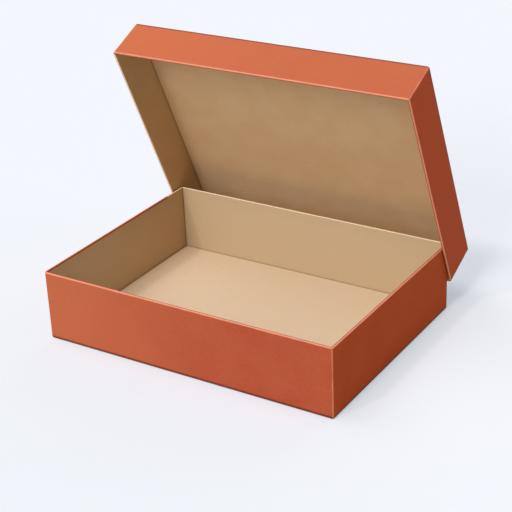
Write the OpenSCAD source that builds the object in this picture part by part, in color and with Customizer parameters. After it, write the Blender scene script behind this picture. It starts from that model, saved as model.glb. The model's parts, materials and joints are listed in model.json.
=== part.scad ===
// Shallow rigid cardboard box with a hinged lid that slips down over its tray.
// Two board shells, each folded up from one blank, are covered with one sheet of coloured paper,
// which is turned over the rims and bends in a crease behind the tray to make the hinge.
// X runs along the hinge, the front is -Y and the origin is the centre of the tray's underside.

/* [Tray] */
// Outside width of the tray, along the hinge
tray_w = 330; // [240:1:420]
// Outside depth of the tray, from front to rear
tray_d = 245; // [180:1:320]
// Outside height of the tray
tray_h = 75; // [62:1:110]

/* [Lid] */
// Outside height of the lid, from its top to the rim of its skirts
lid_h = 47.5; // [32:0.5:56]
// Angle that the lid stands open, counted from closed
lid_open = 66; // [30:1:100]

/* [Board] */
// Thickness of the board
board_t = 1.7; // [1.2:0.1:3]
// Outside radius of the board at its folds and corners
fold_r = 2.4; // [0.8:0.1:2.8]
// Softening of the board's cut edges
edge_r = 0.3; // [0.1:0.05:0.5]
// Width of the open joint between two walls at a corner
seam_w = 0.3; // [0.1:0.05:0.6]
// Width of the score that the blank is folded along, seen in the inside corner
score_w = 0.4; // [0.2:0.05:1]
// Depth of that score
score_deep = 0.3; // [0.1:0.05:0.6]

/* [Cover paper] */
// Thickness of the cover paper
paper_t = 0.3; // [0.2:0.05:0.5]
// Height of the narrow hem that the paper makes inside a covered rim
hem_h = 1.2; // [0.6:0.1:6]
// Width of the paper tabs that turn round the tray's rear corners above the crease
tab_w = 12; // [4:1:30]
// Length of the tray's left rim, next to its rear corner, that the paper leaves bare
bare_rim_l = 32; // [10:1:60]

/* [Fits] */
// Gap between the tray's side walls and the hem inside the lid's skirts
side_gap = 0.7; // [0.4:0.1:2]
// Gap between the tray's rear wall and the lid's back skirt when closed
rear_gap = 0.3; // [0.2:0.1:1]
// Gap between the tray's front edge and the lid's front hem as it swings past
swing_gap = 0.4; // [0.3:0.1:2]
// Gap between the tray's rim and the closed lid's panel
seat_gap = 0.3; // [0.2:0.1:1]
// Gap at the crease, where the tray's paper passes into the lid's
crease_gap = 0.1; // [0.05:0.05:0.3]

/* [Hidden] */
$fn = 48;

// Thickness of a covered wall, and of one whose paper is turned over its rim
wall_t = board_t + paper_t;
hemmed_t = wall_t + paper_t;
// Outside radius of the paper round a fold, and round a cut edge
paper_fold_r = fold_r + paper_t;
paper_edge_r = edge_r + paper_t;
// How far a cutting shape reaches past what it cuts
over = 5;

// The crease is the outer lower edge of the closed lid's back skirt
crease_y = tray_d / 2 + rear_gap + wall_t;
crease_z = tray_h + seat_gap + wall_t - lid_h;
// The lid's front hem meets the tray's front edge when it has swung up to the tray's rim,
// so it keeps the crease's distance to that edge
front_reach = norm([crease_y + tray_d / 2, tray_h - crease_z]) + swing_gap;
lid_d = front_reach + hemmed_t;
lid_w = tray_w + 2 * (side_gap + hemmed_t);
lid_y = crease_y - lid_d / 2;
lid_top_z = crease_z + lid_h;

board_colour = [0.80, 0.66, 0.49];
paper_colour = [0.78, 0.38, 0.26];

// What rounding takes off a square corner that points to +X and -Y
module corner_nick(r) {
    difference() {
        square(r);
        translate([0, r]) circle(r);
    }
}

// Right half of a slab seen from the front, with its lower and its upper corner rounded
module half_outline(half_w, h, low_r, high_r) {
    difference() {
        square([half_w, h]);
        translate([half_w - low_r, 0]) corner_nick(low_r);
        translate([half_w - high_r, h]) mirror([0, 1]) corner_nick(high_r);
    }
}

module slab(w, l, h, low_r, high_r) {
    rotate([90, 0, 0]) linear_extrude(l, center = true) {
        half_outline(w / 2, h, low_r, high_r);
        mirror([1, 0]) half_outline(w / 2, h, low_r, high_r);
    }
}

// Block on z = 0 with rounded upright edges, lower edges and upper edges
module block(w, d, h, upright_r, low_r, high_r) {
    slab(w, d - 2 * upright_r, h, low_r, high_r);
    rotate(90) slab(d, w - 2 * upright_r, h, low_r, high_r);
    for (sx = [-1, 1], sy = [-1, 1])
        translate([sx * (w / 2 - upright_r), sy * (d / 2 - upright_r), 0])
            rotate_extrude() half_outline(upright_r, h, low_r, high_r);
}

// Plain box on z = 0, centred on the z axis
module bar(w, d, h) {
    translate([-w / 2, -d / 2, 0]) cube([w, d, h]);
}

// One rim's inner edge, rounded over, along a mouth that is w wide and l long and ends at height h
module rolled_edges(w, l, h, rim_r) {
    for (side = [0, 1])
        mirror([side, 0, 0]) rotate([90, 0, 0]) linear_extrude(l, center = true)
            translate([w / 2 + rim_r, h]) rotate(180) corner_nick(rim_r);
}

// The open inside of a shell, from floor_z up to its rim at height h
module mouth(w, d, floor_z, h, rim_r) {
    translate([0, 0, floor_z]) bar(w, d, h);
    rolled_edges(w, d, h, rim_r);
    rotate(90) rolled_edges(d, w, h, rim_r);
}

// Shell folded up from one blank: a panel on z = 0 with four walls, which stand on scored folds
// and meet in open joints at the corners
module board_shell(w, d, h) {
    inner_w = w - 2 * board_t;
    inner_d = d - 2 * board_t;
    difference() {
        block(w, d, h, fold_r, fold_r, edge_r);
        mouth(inner_w, inner_d, board_t, h, edge_r);
        for (side = [-1, 1])
            translate([side * (inner_w + seam_w) / 2, 0, board_t]) bar(seam_w, d + over, h);
        translate([0, 0, board_t - score_deep]) difference() {
            bar(inner_w, inner_d, over);
            translate([0, 0, -over]) bar(inner_w - 2 * score_w, inner_d - 2 * score_w, 3 * over);
        }
    }
}

// Paper round the outside of a shell, turned over its rim and ending in a narrow hem inside, which
// reaches up into the turn; w, d and h are the outside sizes over the paper
module paper_shell(w, d, h) {
    hem_z = h - paper_t - hem_h;
    difference() {
        union() {
            difference() {
                block(w, d, h, paper_fold_r, paper_fold_r, paper_edge_r);
                translate([0, 0, paper_t])
                    block(w - 2 * paper_t, d - 2 * paper_t, h - 2 * paper_t, fold_r, fold_r, edge_r);
            }
            translate([0, 0, hem_z]) bar(w - 2 * wall_t, d - 2 * wall_t, hem_h + paper_t / 2);
        }
        mouth(w - 2 * hemmed_t, d - 2 * hemmed_t, paper_t, h, paper_edge_r);
    }
}

// Cuts the paper back from the rim of one wall, which runs along X with its outside at y = 0
// and its top at height h, so that the paper ends level with the board
module bare_rim(l, h) {
    translate([0, -paper_t - over / 2, h - paper_t - hem_h - over]) bar(l, over, 2 * over);
    translate([0, 0, h - paper_t]) bar(l, 2 * over, over);
}

// Turns the lid, which is made closed over the tray, up about the crease
module opened() {
    translate([0, crease_y, crease_z]) rotate([-lid_open, 0, 0]) translate([0, -crease_y, -crease_z])
        children();
}

module tray_board() {
    color(board_colour) board_shell(tray_w - 2 * paper_t, tray_d - 2 * paper_t, tray_h - paper_t);
}

// The sheet ends at the fold just above the table. On the rear wall it ends at the crease,
// above which only its corner tabs reach
module tray_cover_paper() {
    crease_lip_z = crease_z - crease_gap - paper_t;
    lip_reach = crease_y - tray_d / 2 + paper_t;
    color(paper_colour) {
        difference() {
            translate([0, 0, -paper_t]) paper_shell(tray_w, tray_d, tray_h + paper_t);
            translate([0, 0, -over]) bar(tray_w + over, tray_d + over, over + paper_t);
            translate([0, tray_d / 2, crease_lip_z + paper_t]) bar(tray_w - 2 * tab_w, 2 * over, tray_h);
            translate([0, tray_d / 2, 0]) bare_rim(tray_w - 2 * hemmed_t, tray_h);
            translate([-tray_w / 2, (tray_d - bare_rim_l) / 2, 0]) rotate(90) bare_rim(bare_rim_l, tray_h);
        }
        translate([0, crease_y - lip_reach / 2, crease_lip_z])
            bar(tray_w - 2 * paper_fold_r, lip_reach, paper_t);
    }
}

// The lid's shells are made rim up, and turned over to lie closed on the tray
module closed_lid() {
    translate([0, lid_y, lid_top_z]) mirror([0, 0, 1]) children();
}

module lid_board() {
    color(board_colour) opened() closed_lid() translate([0, 0, paper_t])
        board_shell(lid_w - 2 * paper_t, lid_d - 2 * paper_t, lid_h - 2 * paper_t);
}

// The sheet is trimmed level along the left rim, and runs on to the crease along the rear one
module lid_cover_paper() {
    color(paper_colour) opened() closed_lid() {
        difference() {
            paper_shell(lid_w, lid_d, lid_h);
            translate([0, lid_d / 2, 0]) bare_rim(lid_w - 2 * hemmed_t, lid_h);
            translate([-lid_w / 2, hemmed_t, 0]) rotate(90) bare_rim(lid_d, lid_h);
        }
        translate([0, (lid_d - paper_t) / 2, lid_h - 2 * paper_edge_r])
            bar(lid_w - 2 * paper_fold_r, paper_t, 2 * paper_edge_r);
    }
}

tray_board();
tray_cover_paper();
lid_board();
lid_cover_paper();
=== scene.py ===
"""Open cardboard box: the finish of its board and paper, the paper in its crease, and a plain studio."""

import json
from math import pi, radians

import bmesh
import bpy
from bpy.props import FloatProperty, FloatVectorProperty, PointerProperty
from mathutils import Euler, Matrix, Vector

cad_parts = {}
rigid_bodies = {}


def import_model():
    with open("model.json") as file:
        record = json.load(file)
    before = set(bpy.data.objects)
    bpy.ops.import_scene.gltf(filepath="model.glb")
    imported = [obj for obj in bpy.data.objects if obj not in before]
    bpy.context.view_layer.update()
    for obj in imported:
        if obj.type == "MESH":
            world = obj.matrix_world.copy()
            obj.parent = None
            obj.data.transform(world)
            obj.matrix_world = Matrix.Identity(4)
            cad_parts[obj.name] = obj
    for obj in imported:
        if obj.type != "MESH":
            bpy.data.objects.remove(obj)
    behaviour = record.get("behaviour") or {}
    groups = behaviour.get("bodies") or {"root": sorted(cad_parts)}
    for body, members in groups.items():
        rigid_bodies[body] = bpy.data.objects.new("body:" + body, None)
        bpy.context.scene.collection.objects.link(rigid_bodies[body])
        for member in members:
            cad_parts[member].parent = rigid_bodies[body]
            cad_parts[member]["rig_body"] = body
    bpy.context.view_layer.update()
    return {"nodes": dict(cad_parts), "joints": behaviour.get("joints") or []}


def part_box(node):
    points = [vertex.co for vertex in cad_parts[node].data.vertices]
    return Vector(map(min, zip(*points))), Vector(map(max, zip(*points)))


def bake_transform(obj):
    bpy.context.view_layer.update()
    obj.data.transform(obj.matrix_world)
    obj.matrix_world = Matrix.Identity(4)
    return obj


bl_info = {
    "name": "Open cardboard box",
    "version": (1, 0, 0),
    "blender": (4, 5, 0),
    "location": "View3D > Sidebar > Box",
    "description": "Finishes a rigid cardboard box with a hinged lid and sets it in a plain studio",
    "category": "Object",
}

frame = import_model()
HINGE = frame["joints"][0]
CREASE = Vector(HINGE["pos_m"])
# The lid stands open by as much as the hinge can close it
LID_TURN = Matrix.Rotation(radians(HINGE["range_deg"][0]), 4, "X")
# Turns the lid down on the tray, about its crease
LID_CLOSING = Matrix.Translation(CREASE) @ LID_TURN.inverted() @ Matrix.Translation(-CREASE)
MM = 0.001
# Half the width of the floor in metres, and the width of the camera's sensor in millimetres
FLOOR_HALF = 6
SENSOR_MM = 36
# Where each lamp stands, as azimuth and elevation, and how wide it is spread, all in degrees.
# The studio's setting of the same name holds its level
LAMPS = {
    "key": (-21, 50, 4),
    "over": (-60, 75, 40),
    "left": (-85, 55, 40),
    "front": (0, 54, 8),
    "low": (0, 30, 20),
    "fill": (-10, 14, 20),
    "right": (100, 12, 30),
    "back": (180, 32, 50),
}


def linear(colour):
    """Linear red, green and blue of an sRGB hex colour."""
    parts = [int(colour[i:i + 2], 16) / 255 for i in (1, 3, 5)]
    return tuple(p / 12.92 if p <= 0.04045 else ((p + 0.055) / 1.055) ** 2.4 for p in parts)


def colour_property(name, description, colour):
    """A colour that a user can set, with its default given as sRGB hex."""
    return FloatVectorProperty(name=name, description=description, subtype="COLOR", size=3,
                               min=0, max=1, default=linear(colour))


def length_property(name, description, mm):
    """A length that a user can set, with its default given in millimetres."""
    return FloatProperty(name=name, description=description, default=mm * MM, min=0,
                         subtype="DISTANCE", unit="LENGTH", precision=5)


def share_property(name, description, share):
    """A share from 0 to 1 that a user can set."""
    return FloatProperty(name=name, description=description, default=share, min=0, max=1,
                         subtype="FACTOR")


def level_property(name, description, level):
    """A light level that a user can set, where 1 on a surface shows its colour as written."""
    return FloatProperty(name=name, description=description, default=level, min=0)


class BoardFinish(bpy.types.PropertyGroup):
    """Colours and pattern sizes of the bare kraft board"""
    tray: colour_property("Tray", "Kraft face of the tray's board", "#E6CEB0")
    # A darker copy of the tray's kraft: painted shade for the lid's inside, which faces away from the
    # light
    lid: colour_property("Lid", "Kraft face of the lid's board", "#D5B288")
    pale: colour_property("Pale patch", "Kraft face where the pulp is paler", "#E8CFAD")
    fibre: colour_property("Fibre", "Darker fibres on the face", "#B48E64")
    # Painted shade: the three tints below darken the inner faces of the tray's walls and of the lid's
    # skirts
    tray_wall_shade: colour_property("Tray walls", "Tint on its front and rear wall, soiled by hands", "#E1DCD1")
    tray_end_shade: colour_property("Tray ends", "Tint on its end walls, across the grain", "#DBD0C0")
    lid_wall_shade: colour_property("Lid skirts", "Tint on the inside of its skirts, soiled by hands", "#F2F1EA")
    # Painted shade along the inside corners, where the walls meet each other and the floor
    corner_shade: colour_property("Score", "Face pressed by the scoring rule, in the inside corners", "#8A6238")
    # Pale cut edge of the board, brightened beyond its own tone as a painted highlight on the rims
    core: colour_property("Cut edge", "Inside of the board, seen where it is cut", "#FFEBCC")
    thick: length_property("Board", "Thickness of the board", 1.7)
    patch: length_property("Patches", "Size of the paler patches", 30)
    fibre_length: length_property("Fibre length", "Length of the fibres in the face", 4)
    corner_shade_reach: length_property("Score width", "How far the pressed stretch reaches from a corner", 2)
    cut_reach: length_property("Cut width", "How far the pale cut edge shows down the face", 0.8)


class PaperFinish(bpy.types.PropertyGroup):
    """Colours and pattern sizes of the dyed cover paper"""
    tray: colour_property("Tray", "Dyed face of the tray's paper", "#B14D31")
    # Painted shade: deepens the tray's right end, the side turned from the light
    tray_end_shade: colour_property("Tray end", "Tint on its right end, which the light has yellowed", "#FFDF6F")
    # A paler copy of the tray's paper: painted light for the lid's upturned skirt, which faces the light
    lid: colour_property("Lid", "Dyed face of the lid's paper", "#BC613F")
    # Painted shade: deepens the lid's right end, the side turned from the light
    lid_end_shade: colour_property("Lid end", "Tint on its right end, which the light has yellowed", "#F4C183")
    # Used both for real faded patches in the dye and for painted light that makes the paper paler towards
    # the left end
    faded_dye_and_light: colour_property("Faded", "Dye that has faded, in patches and towards the left end", "#C66945")
    # Used both for the paler tooth of the paper and for the painted highlight along the rims and upright
    # folds
    tooth_and_highlight: colour_property("Rubbed fold", "Folds and rims that handling has rubbed paler", "#F6A687")
    # Painted shade on the turned-in strip inside the covered rims
    hem_shade: colour_property("Hem", "Narrow hem inside a covered rim, dark with glue", "#8A4628")
    # Painted shade: darkens the folds at the foot of the tray and round the lid's panel
    fold_shade: colour_property("Soiled fold", "Grime in the folds at the foot and round the panel", "#6A2A1A")
    wall: length_property("Wall", "Thickness of a covered wall, up to its hem", 2)
    patch: length_property("Patches", "Size of the clouds in the dye", 45)
    tooth: length_property("Tooth", "Spacing of the paper's tooth", 1.4)
    # Width of the painted highlight along the folds
    highlight_reach: length_property("Rubbed width", "How far the rubbing reaches from a fold", 1.9)
    # Length of the stretches where the painted highlight reaches more or less far
    wander: length_property("Rubbed stretches", "Length of the stretches that are rubbed more or less", 12)
    # Width of the painted shade in those folds
    fold_shade_reach: length_property("Soiled width", "How far the grime reaches from a fold", 4)


class CreasePaper(bpy.types.PropertyGroup):
    """Sizes of the paper in the crease that the lid turns on"""
    thick: length_property("Thickness", "Thickness of the paper where it bends", 0.12)
    reach: length_property("Reach", "How far the bend reaches to each side of the crease", 1.5)
    lip: length_property("Lip", "How far the underside of the tray's paper lies below the crease", 0.4)
    margin: length_property("Margin", "How far the bend ends inside the tray's sides", 2)
    gap: length_property("Gap", "Gap between the bend and the paper that it lies along", 0.05)


class Studio(bpy.types.PropertyGroup):
    """Light, floor and camera"""
    floor: colour_property("Floor", "Pale floor and backdrop, as the camera sees them", "#F4F7FD")
    bounce: share_property("Bounce", "Share of the light that the floor gives back to the box", 0.55)
    glow: FloatVectorProperty(name="Glow", subtype="COLOR", size=3, min=0, max=1,
                              description="Share of the floor's tone that shadows leave as it is",
                              default=(0.35, 0.42, 0.45))
    level: level_property("Level", "Level of all the light on the open floor", 1.12)
    sky: level_property("Sky", "Level of the even light from all sides", 0.13)
    key: level_property("Key", "Level of the small lamp over the front left", 0.15)
    over: level_property("Over", "Level of the wide lamp high over the left", 0.25)
    left: level_property("Left", "Level of the wide lamp at the left end", 0.13)
    front: level_property("Front", "Level of the lamp high in front", 0.25)
    low: level_property("Low", "Level of the lamp lower in front", 0.27)
    fill: level_property("Fill", "Level of the lamp that lights the lid from low in front", 0.11)
    right: level_property("Right", "Level of the low lamp at the right end", 0.17)
    back: level_property("Back", "Level of the wide lamp behind the lid", 0.25)
    lens: FloatProperty(name="Lens", description="Focal length of the camera", default=97.7, min=1)
    place: FloatVectorProperty(name="Camera", description="Place of the camera", subtype="XYZ",
                               unit="LENGTH", default=(0.6921, -1.0577, 0.6880))
    tilt: FloatProperty(name="Tilt", description="Angle that the camera looks down by", unit="ROTATION",
                        default=radians(25.83))
    turn: FloatProperty(name="Turn", description="Angle that the camera stands round to the right by",
                        unit="ROTATION", default=radians(32.83))
    roll: FloatProperty(name="Roll", description="Angle that the camera leans over by", unit="ROTATION",
                        default=radians(-2.47))


def settings():
    """The property groups that hold the sizes and colours."""
    return bpy.context.scene.cardboard_box


def add_node(tree, kind, inputs=(), **options):
    """Adds a node. inputs maps its sockets to values or to the sockets that feed them."""
    node = tree.nodes.new("ShaderNode" + kind)
    for name, value in options.items():
        setattr(node, name, value)
    for socket, value in dict(inputs).items():
        if isinstance(value, bpy.types.NodeSocket):
            tree.links.new(value, node.inputs[socket])
        else:
            node.inputs[socket].default_value = value
    return node


def new_material(name):
    """An empty node material with its shader."""
    material = bpy.data.materials.new(name)
    material.use_nodes = True
    tree = material.node_tree
    return material, tree, tree.nodes["Principled BSDF"]


def is_on_lid(node):
    """Whether a CAD node turns with the lid."""
    return frame["nodes"][node]["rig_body"] == HINGE["child"]


def closed_box(node):
    """Lowest and highest corner of a CAD node, with the lid turned down again if it is the lid's."""
    if not is_on_lid(node):
        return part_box(node)
    points = [LID_CLOSING @ vertex.co for vertex in frame["nodes"][node].data.vertices]
    return tuple(Vector([pick(p[k] for p in points) for k in range(3)]) for pick in (min, max))


def shell_place(tree, node):
    """Place on a shell, counted from the middle of its closed box, with +Z towards its rim."""
    low, high = closed_box(node)
    place = Matrix.Translation(-(low + high) / 2)
    if is_on_lid(node):
        # The closed lid's rim is down, so the lid is turned over too
        place = Matrix.Diagonal((1, -1, -1, 1)) @ place @ LID_CLOSING
    coordinates = add_node(tree, "TexCoord").outputs["Object"]
    inputs = {"Vector": coordinates, "Location": place.translation, "Rotation": place.to_euler()}
    return add_node(tree, "Mapping", inputs).outputs[0], (high - low) / 2


def beyond_faces(tree, place, half, height):
    """How far a point lies beyond a box's faces on X, on Y and at a height. It is negative inside."""
    axes = add_node(tree, "SeparateXYZ", {0: place}).outputs
    sides = [add_node(tree, "Math", {0: axis}, operation="ABSOLUTE").outputs[0] for axis in axes[:2]]
    pairs = zip((*sides, axes[2]), (half.x, half.y, height))
    return [add_node(tree, "Math", {0: a, 1: b}, operation="SUBTRACT").outputs[0] for a, b in pairs]


def middle_one(tree, x, y, z):
    """The middle one of three values, and the higher one of the first two."""
    lower = add_node(tree, "Math", {0: x, 1: y}, operation="MINIMUM").outputs[0]
    higher = add_node(tree, "Math", {0: x, 1: y}, operation="MAXIMUM").outputs[0]
    inner = add_node(tree, "Math", {0: higher, 1: z}, operation="MINIMUM").outputs[0]
    return add_node(tree, "Math", {0: lower, 1: inner}, operation="MAXIMUM").outputs[0], higher


def lay_colours(tree, ground, layers):
    """Lays colours over a ground. A layer gives its mode, its colour and its most share, and the value
    and the two ends of the stretch over which the share rises smoothly from none to that most."""
    face = (*ground, 1)
    for mode, colour, most, value, start, end in layers:
        inputs = {"Value": value, "From Min": start, "From Max": end, "To Max": most}
        share = add_node(tree, "MapRange", inputs, interpolation_type="SMOOTHSTEP").outputs["Result"]
        inputs = {0: share, 6: face, 7: (*colour, 1)}
        face = add_node(tree, "Mix", inputs, data_type="RGBA", blend_type=mode).outputs[2]
    return face


def kraft_board(node, colour, wall, end):
    """Unbleached kraft-lined solid board, calendered on the machine: matt and slightly fibrous, cloudy
    in tone, with dark stray fibres. Painted shade darkens it along its inside corners and makes its walls
    a little greyer than its panel; its cut edges are pale, partly their own tone and partly a painted
    highlight."""
    finish = settings().board
    material, tree, shader = new_material("kraft_lined_board_" + node)
    place, half = shell_place(tree, node)
    inputs = {"Vector": place, "Scale": 1 / finish.patch, "Detail": 3}
    clouds = add_node(tree, "TexNoise", inputs).outputs[0]
    # Real fibres are a tenth of a millimetre wide, so they are drawn coarser to show
    along = add_node(tree, "Mapping", {"Vector": place, "Scale": (1, 3, 3)}).outputs[0]
    inputs = {"Vector": along, "Scale": 1 / finish.fibre_length, "Detail": 3, "Roughness": 0.6}
    fibres = add_node(tree, "TexNoise", inputs).outputs[0]
    inputs = {"Vector": place, "Scale": 1 / finish.fibre_length, "Detail": 1}
    specks = add_node(tree, "TexNoise", inputs).outputs[0]
    inner = half - Vector((finish.thick, finish.thick, 0))
    beyond = beyond_faces(tree, place, inner, finish.thick - half.z)
    distances = [add_node(tree, "Math", {0: value}, operation="ABSOLUTE").outputs[0] for value in beyond]
    from_corner, _ = middle_one(tree, *distances)
    beyond_end, beyond_side, _ = beyond
    inputs = {0: beyond_end, 1: beyond_side}
    outside = add_node(tree, "Math", inputs, operation="MAXIMUM").outputs[0]
    height = add_node(tree, "SeparateXYZ", {0: place}).outputs[2]
    # The painted shade on a wall starts just in front of its face, and the cut edge is softened by a
    # little
    wall_start, wall_full, softened = -0.4 * MM, -0.1 * MM, 0.25 * MM
    # The lid's paper is cut back at a rear corner, where its dye and glue have stained the board
    stain = 0.9 if is_on_lid(node) else 0
    face = lay_colours(tree, colour, [
        ("MIX", finish.pale, 0.15, clouds, 0.35, 0.65),
        # Painted shade on the inner faces of the walls and ends
        ("MULTIPLY", wall, 1, beyond_side, wall_start, wall_full),
        ("MULTIPLY", end, 1, beyond_end, wall_start, wall_full),
        ("MIX", finish.fibre, 0.12, fibres, 0.4, 0.8),
        ("MIX", finish.fibre, 0.15, specks, 0.7, 0.76),
        # Painted shade along the inside corners
        ("MIX", finish.corner_shade, 0.4, from_corner, finish.corner_shade_reach, 0),
        ("MIX", settings().paper.lid, stain, outside, 0.5 * finish.thick, 0.6 * finish.thick),
        # The pale cut edge along the rims, partly its own tone and partly a painted highlight
        ("MIX", finish.core, 1, height, half.z - finish.cut_reach, half.z - softened),
    ])
    tree.links.new(face, shader.inputs["Base Color"])
    shader.inputs["Roughness"].default_value = 0.85
    shader.inputs["Specular IOR Level"].default_value = 0.15
    bump = add_node(tree, "Bump", {"Height": fibres, "Strength": 0.25, "Distance": 0.05 * MM})
    tree.links.new(bump.outputs[0], shader.inputs["Normal"])
    return material


def cover_paper(node, colour, end):
    """Dyed uncoated cover paper, glued smooth over the board: matt with a fine tooth, cloudy in its dye.
    Painted light pales it towards the left end, painted shade deepens its right end and darkens the folds
    round the panel and the strip turned in at the rims, and painted highlights run along the rims and
    upright folds."""
    finish = settings().paper
    material, tree, shader = new_material("dyed_cover_paper_" + node)
    place, half = shell_place(tree, node)
    inputs = {"Vector": place, "Scale": 1 / finish.patch, "Detail": 4, "Roughness": 0.55}
    clouds = add_node(tree, "TexNoise", inputs).outputs[0]
    # The real tooth is a few tenths of a millimetre wide, so it is drawn coarser to show
    inputs = {"Vector": place, "Scale": 1 / finish.tooth, "Detail": 3, "Roughness": 0.6}
    tooth = add_node(tree, "TexNoise", inputs).outputs[0]
    inputs = {"Vector": place, "Scale": 1 / finish.wander, "Detail": 3}
    highlight_wander = add_node(tree, "TexNoise", inputs).outputs[0]
    along = add_node(tree, "SeparateXYZ", {0: place}).outputs[0]
    beyond = beyond_faces(tree, place, half, half.z)
    from_rim, wall_depth = middle_one(tree, *beyond)
    # The painted highlight's edge wanders by half its width
    inputs = {0: highlight_wander, 1: finish.highlight_reach / 2, 2: from_rim}
    tooth_and_highlight = add_node(tree, "Math", inputs, operation="MULTIPLY_ADD").outputs[0]
    above_panel = add_node(tree, "Math", {0: -2 * half.z, 1: beyond[2]}, operation="SUBTRACT").outputs[0]
    from_panel = add_node(tree, "Math", {0: wall_depth, 1: above_panel}, operation="MINIMUM").outputs[0]
    # The painted shade on the right end starts on the fold, and the painted shade on the turned-in strip
    # just in front of its face
    end_start, end_full, hem_start = half.x - 1.5 * MM, half.x - 0.3 * MM, 0.4 * MM - finish.wall
    face = lay_colours(tree, colour, [
        # Painted light: the paper grows paler towards the left end
        ("MIX", finish.faded_dye_and_light, 0.9, along, half.x / 2, -half.x),
        ("MIX", finish.faded_dye_and_light, 0.25, clouds, 0.3, 0.7),
        ("MIX", finish.tooth_and_highlight, 0.08, tooth, 0.45, 0.75),
        # Painted shade on the right end
        ("MULTIPLY", end, 1, along, end_start, end_full),
        # Painted shade in the folds at the foot and round the panel
        ("MIX", finish.fold_shade, 0.8, from_panel, -finish.fold_shade_reach, -finish.fold_shade_reach / 2),
        # Painted highlight along the rims and the upright folds
        ("MIX", finish.tooth_and_highlight, 0.85, tooth_and_highlight, -0.75 * finish.highlight_reach, 0.25 * finish.highlight_reach),
        # Painted shade on the turned-in strip inside the rims
        ("MIX", finish.hem_shade, 0.8, wall_depth, hem_start, -finish.wall),
    ])
    tree.links.new(face, shader.inputs["Base Color"])
    shader.inputs["Roughness"].default_value = 0.7
    shader.inputs["Specular IOR Level"].default_value = 0.12
    bump = add_node(tree, "Bump", {"Height": tooth, "Strength": 0.3, "Distance": 0.06 * MM})
    tree.links.new(bump.outputs[0], shader.inputs["Normal"])
    return material


def dress(node, material):
    """Gives a CAD node its material."""
    frame["nodes"][node].material_slots[0].material = material


def seen_share(tree):
    """1 for the rays by which the camera sees the stage, itself or in a gloss, and 0 for the light."""
    rays = add_node(tree, "LightPath").outputs
    inputs = {0: rays["Is Camera Ray"], 1: rays["Is Glossy Ray"]}
    direct = add_node(tree, "Math", inputs, operation="ADD").outputs[0]
    inputs = {0: direct, 1: rays["Is Transmission Ray"]}
    return add_node(tree, "Math", inputs, operation="ADD", use_clamp=True).outputs[0]


def pale_floor():
    """Matt pale paper: the camera sees its true tone, and the box gets less of its light back."""
    studio = settings().studio
    material, tree, shader = new_material("pale_backdrop_paper")
    seen = seen_share(tree)
    glow = [tone * share for tone, share in zip(studio.floor, studio.glow)]
    lit = [(tone - part) / studio.level for tone, part in zip(studio.floor, glow)]
    inputs = {0: seen, 6: (*[studio.bounce] * 3, 1), 7: (*lit, 1)}
    face = add_node(tree, "Mix", inputs, data_type="RGBA").outputs[2]
    tree.links.new(face, shader.inputs["Base Color"])
    tree.links.new(seen, shader.inputs["Emission Strength"])
    shader.inputs["Emission Color"].default_value = (*glow, 1)
    shader.inputs["Roughness"].default_value = 1
    shader.inputs["Specular IOR Level"].default_value = 0
    return material


def pale_sky():
    """World that the camera sees in the floor's tone, and that lights the box a little all round."""
    studio = settings().studio
    world = bpy.data.worlds.new("sky")
    world.use_nodes = True
    tree = world.node_tree
    inputs = {0: seen_share(tree), 2: studio.sky, 3: 1.0}
    level = add_node(tree, "Mix", inputs, data_type="FLOAT").outputs[0]
    background = tree.nodes["Background"]
    background.inputs["Color"].default_value = (*studio.floor, 1)
    tree.links.new(level, background.inputs["Strength"])
    return world


def add_piece(name, shape):
    """Makes a bmesh an object of the scene."""
    mesh = bpy.data.meshes.new(name)
    shape.to_mesh(mesh)
    shape.free()
    piece = bpy.data.objects.new(name, mesh)
    bpy.context.scene.collection.objects.link(piece)
    return piece


def add_sun(name, azimuth, elevation, spread, level):
    """A distant lamp that is spread wide, in degrees. It stands at the front at azimuth 0 and at the
    right at 90, and levels that add up to 1 on a face turned to the lamps show colours as written."""
    lamp = bpy.data.lights.new(name, "SUN")
    lamp.energy = pi * level
    lamp.angle = radians(spread)
    holder = bpy.data.objects.new(name, lamp)
    holder.rotation_euler = Euler((radians(90 - elevation), 0, radians(azimuth)))
    bpy.context.scene.collection.objects.link(holder)


class BOX_OT_finish_tray(bpy.types.Operator):
    """Finish the tray's board and its cover paper"""
    bl_idname = "cardboard_box.finish_tray"
    bl_label = "Finish Tray"

    def execute(self, context):
        board, paper = settings().board, settings().paper
        dress("tray_board", kraft_board("tray_board", board.tray, board.tray_wall_shade, board.tray_end_shade))
        dress("tray_cover_paper", cover_paper("tray_cover_paper", paper.tray, paper.tray_end_shade))
        return {"FINISHED"}


class BOX_OT_finish_lid(bpy.types.Operator):
    """Finish the lid's board and its cover paper"""
    bl_idname = "cardboard_box.finish_lid"
    bl_label = "Finish Lid"

    def execute(self, context):
        board, paper = settings().board, settings().paper
        dress("lid_board", kraft_board("lid_board", board.lid, board.lid_wall_shade, board.lid_wall_shade))
        dress("lid_cover_paper", cover_paper("lid_cover_paper", paper.lid, paper.lid_end_shade))
        return {"FINISHED"}


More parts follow.
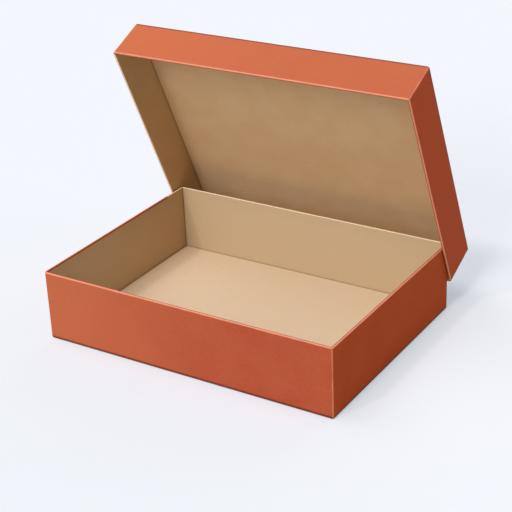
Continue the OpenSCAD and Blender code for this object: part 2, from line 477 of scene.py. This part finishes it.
class BOX_OT_add_crease(bpy.types.Operator):
    """Bend a band of the cover paper through the crease, from the tray's rear wall to the lid's skirt"""
    bl_idname = "cardboard_box.add_crease"
    bl_label = "Add Crease Paper"

    def execute(self, context):
        crease = settings().crease
        half_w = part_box("tray_cover_paper")[1].x - crease.margin
        # The band lies under the tray's lip and behind the lid's skirt, and bends between the quarters
        # of its reach that are nearest to the crease
        under = CREASE - Vector((0, 0, crease.lip + crease.gap))
        behind = CREASE + LID_TURN @ Vector((0, crease.gap, 0))
        ahead, up = Vector((0, -crease.reach, 0)), LID_TURN @ Vector((0, 0, crease.reach))
        points = [under + ahead, under + ahead / 4, behind + up / 4, behind + up]
        band = bmesh.new()
        line = [band.verts.new(point - Vector((half_w, 0, 0))) for point in points]
        edges = [band.edges.new(pair) for pair in zip(line, line[1:])]
        grown = bmesh.ops.extrude_edge_only(band, edges=edges)["geom"]
        across = [v for v in grown if isinstance(v, bmesh.types.BMVert)]
        bmesh.ops.translate(band, vec=(2 * half_w, 0, 0), verts=across)
        bmesh.ops.recalc_face_normals(band, faces=band.faces)
        bmesh.ops.solidify(band, geom=band.faces[:], thickness=crease.thick)
        bmesh.ops.recalc_face_normals(band, faces=band.faces)
        piece = add_piece("crease_paper", band)
        piece.data.materials.append(frame["nodes"]["tray_cover_paper"].material_slots[0].material)
        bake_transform(piece)
        return {"FINISHED"}


class BOX_OT_set_stage(bpy.types.Operator):
    """Set the box on a pale floor in soft light, with the camera at the photograph's angle"""
    bl_idname = "cardboard_box.set_stage"
    bl_label = "Set Stage"

    def execute(self, context):
        studio, scene = settings().studio, context.scene
        sheet = bmesh.new()
        bmesh.ops.create_grid(sheet, x_segments=1, y_segments=1, size=FLOOR_HALF)
        floor = add_piece("floor", sheet)
        floor.data.materials.append(pale_floor())
        scene.world = pale_sky()
        for name, place in LAMPS.items():
            add_sun(name, *place, getattr(studio, name))
        camera = bpy.data.objects.new("camera", bpy.data.cameras.new("camera"))
        camera.data.sensor_width = SENSOR_MM
        camera.data.lens = studio.lens
        camera.location = studio.place
        aim = Euler((pi / 2 - studio.tilt, 0, studio.turn)).to_matrix()
        camera.rotation_euler = (aim @ Matrix.Rotation(studio.roll, 3, "Z")).to_euler()
        scene.collection.objects.link(camera)
        scene.camera = camera
        scene.view_settings.view_transform = "Standard"
        return {"FINISHED"}


class BoxSettings(bpy.types.PropertyGroup):
    """All that can be set"""
    board: PointerProperty(type=BoardFinish)
    paper: PointerProperty(type=PaperFinish)
    crease: PointerProperty(type=CreasePaper)
    studio: PointerProperty(type=Studio)


OPERATORS = (BOX_OT_finish_tray, BOX_OT_finish_lid, BOX_OT_add_crease, BOX_OT_set_stage)


class BOX_PT_sidebar(bpy.types.Panel):
    """Lists the steps and their settings"""
    bl_idname = "BOX_PT_sidebar"
    bl_label = "Cardboard Box"
    bl_space_type = "VIEW_3D"
    bl_region_type = "UI"
    bl_category = "Box"

    def draw(self, context):
        for operator in OPERATORS:
            self.layout.operator(operator.bl_idname)
        for name in ("board", "paper", "crease", "studio"):
            group = getattr(settings(), name)
            column = self.layout.column(heading=name.title())
            for setting in group.bl_rna.properties:
                if not setting.is_readonly and setting.identifier != "name":
                    column.prop(group, setting.identifier)


CLASSES = (BoardFinish, PaperFinish, CreasePaper, Studio, BoxSettings, *OPERATORS, BOX_PT_sidebar)


def register():
    for cls in CLASSES:
        bpy.utils.register_class(cls)
    bpy.types.Scene.cardboard_box = PointerProperty(type=BoxSettings)


def unregister():
    del bpy.types.Scene.cardboard_box
    for cls in reversed(CLASSES):
        bpy.utils.unregister_class(cls)


def main():
    register()
    bpy.ops.cardboard_box.finish_tray()
    bpy.ops.cardboard_box.finish_lid()
    bpy.ops.cardboard_box.add_crease()
    bpy.ops.cardboard_box.set_stage()


if __name__ == "__main__":
    main()
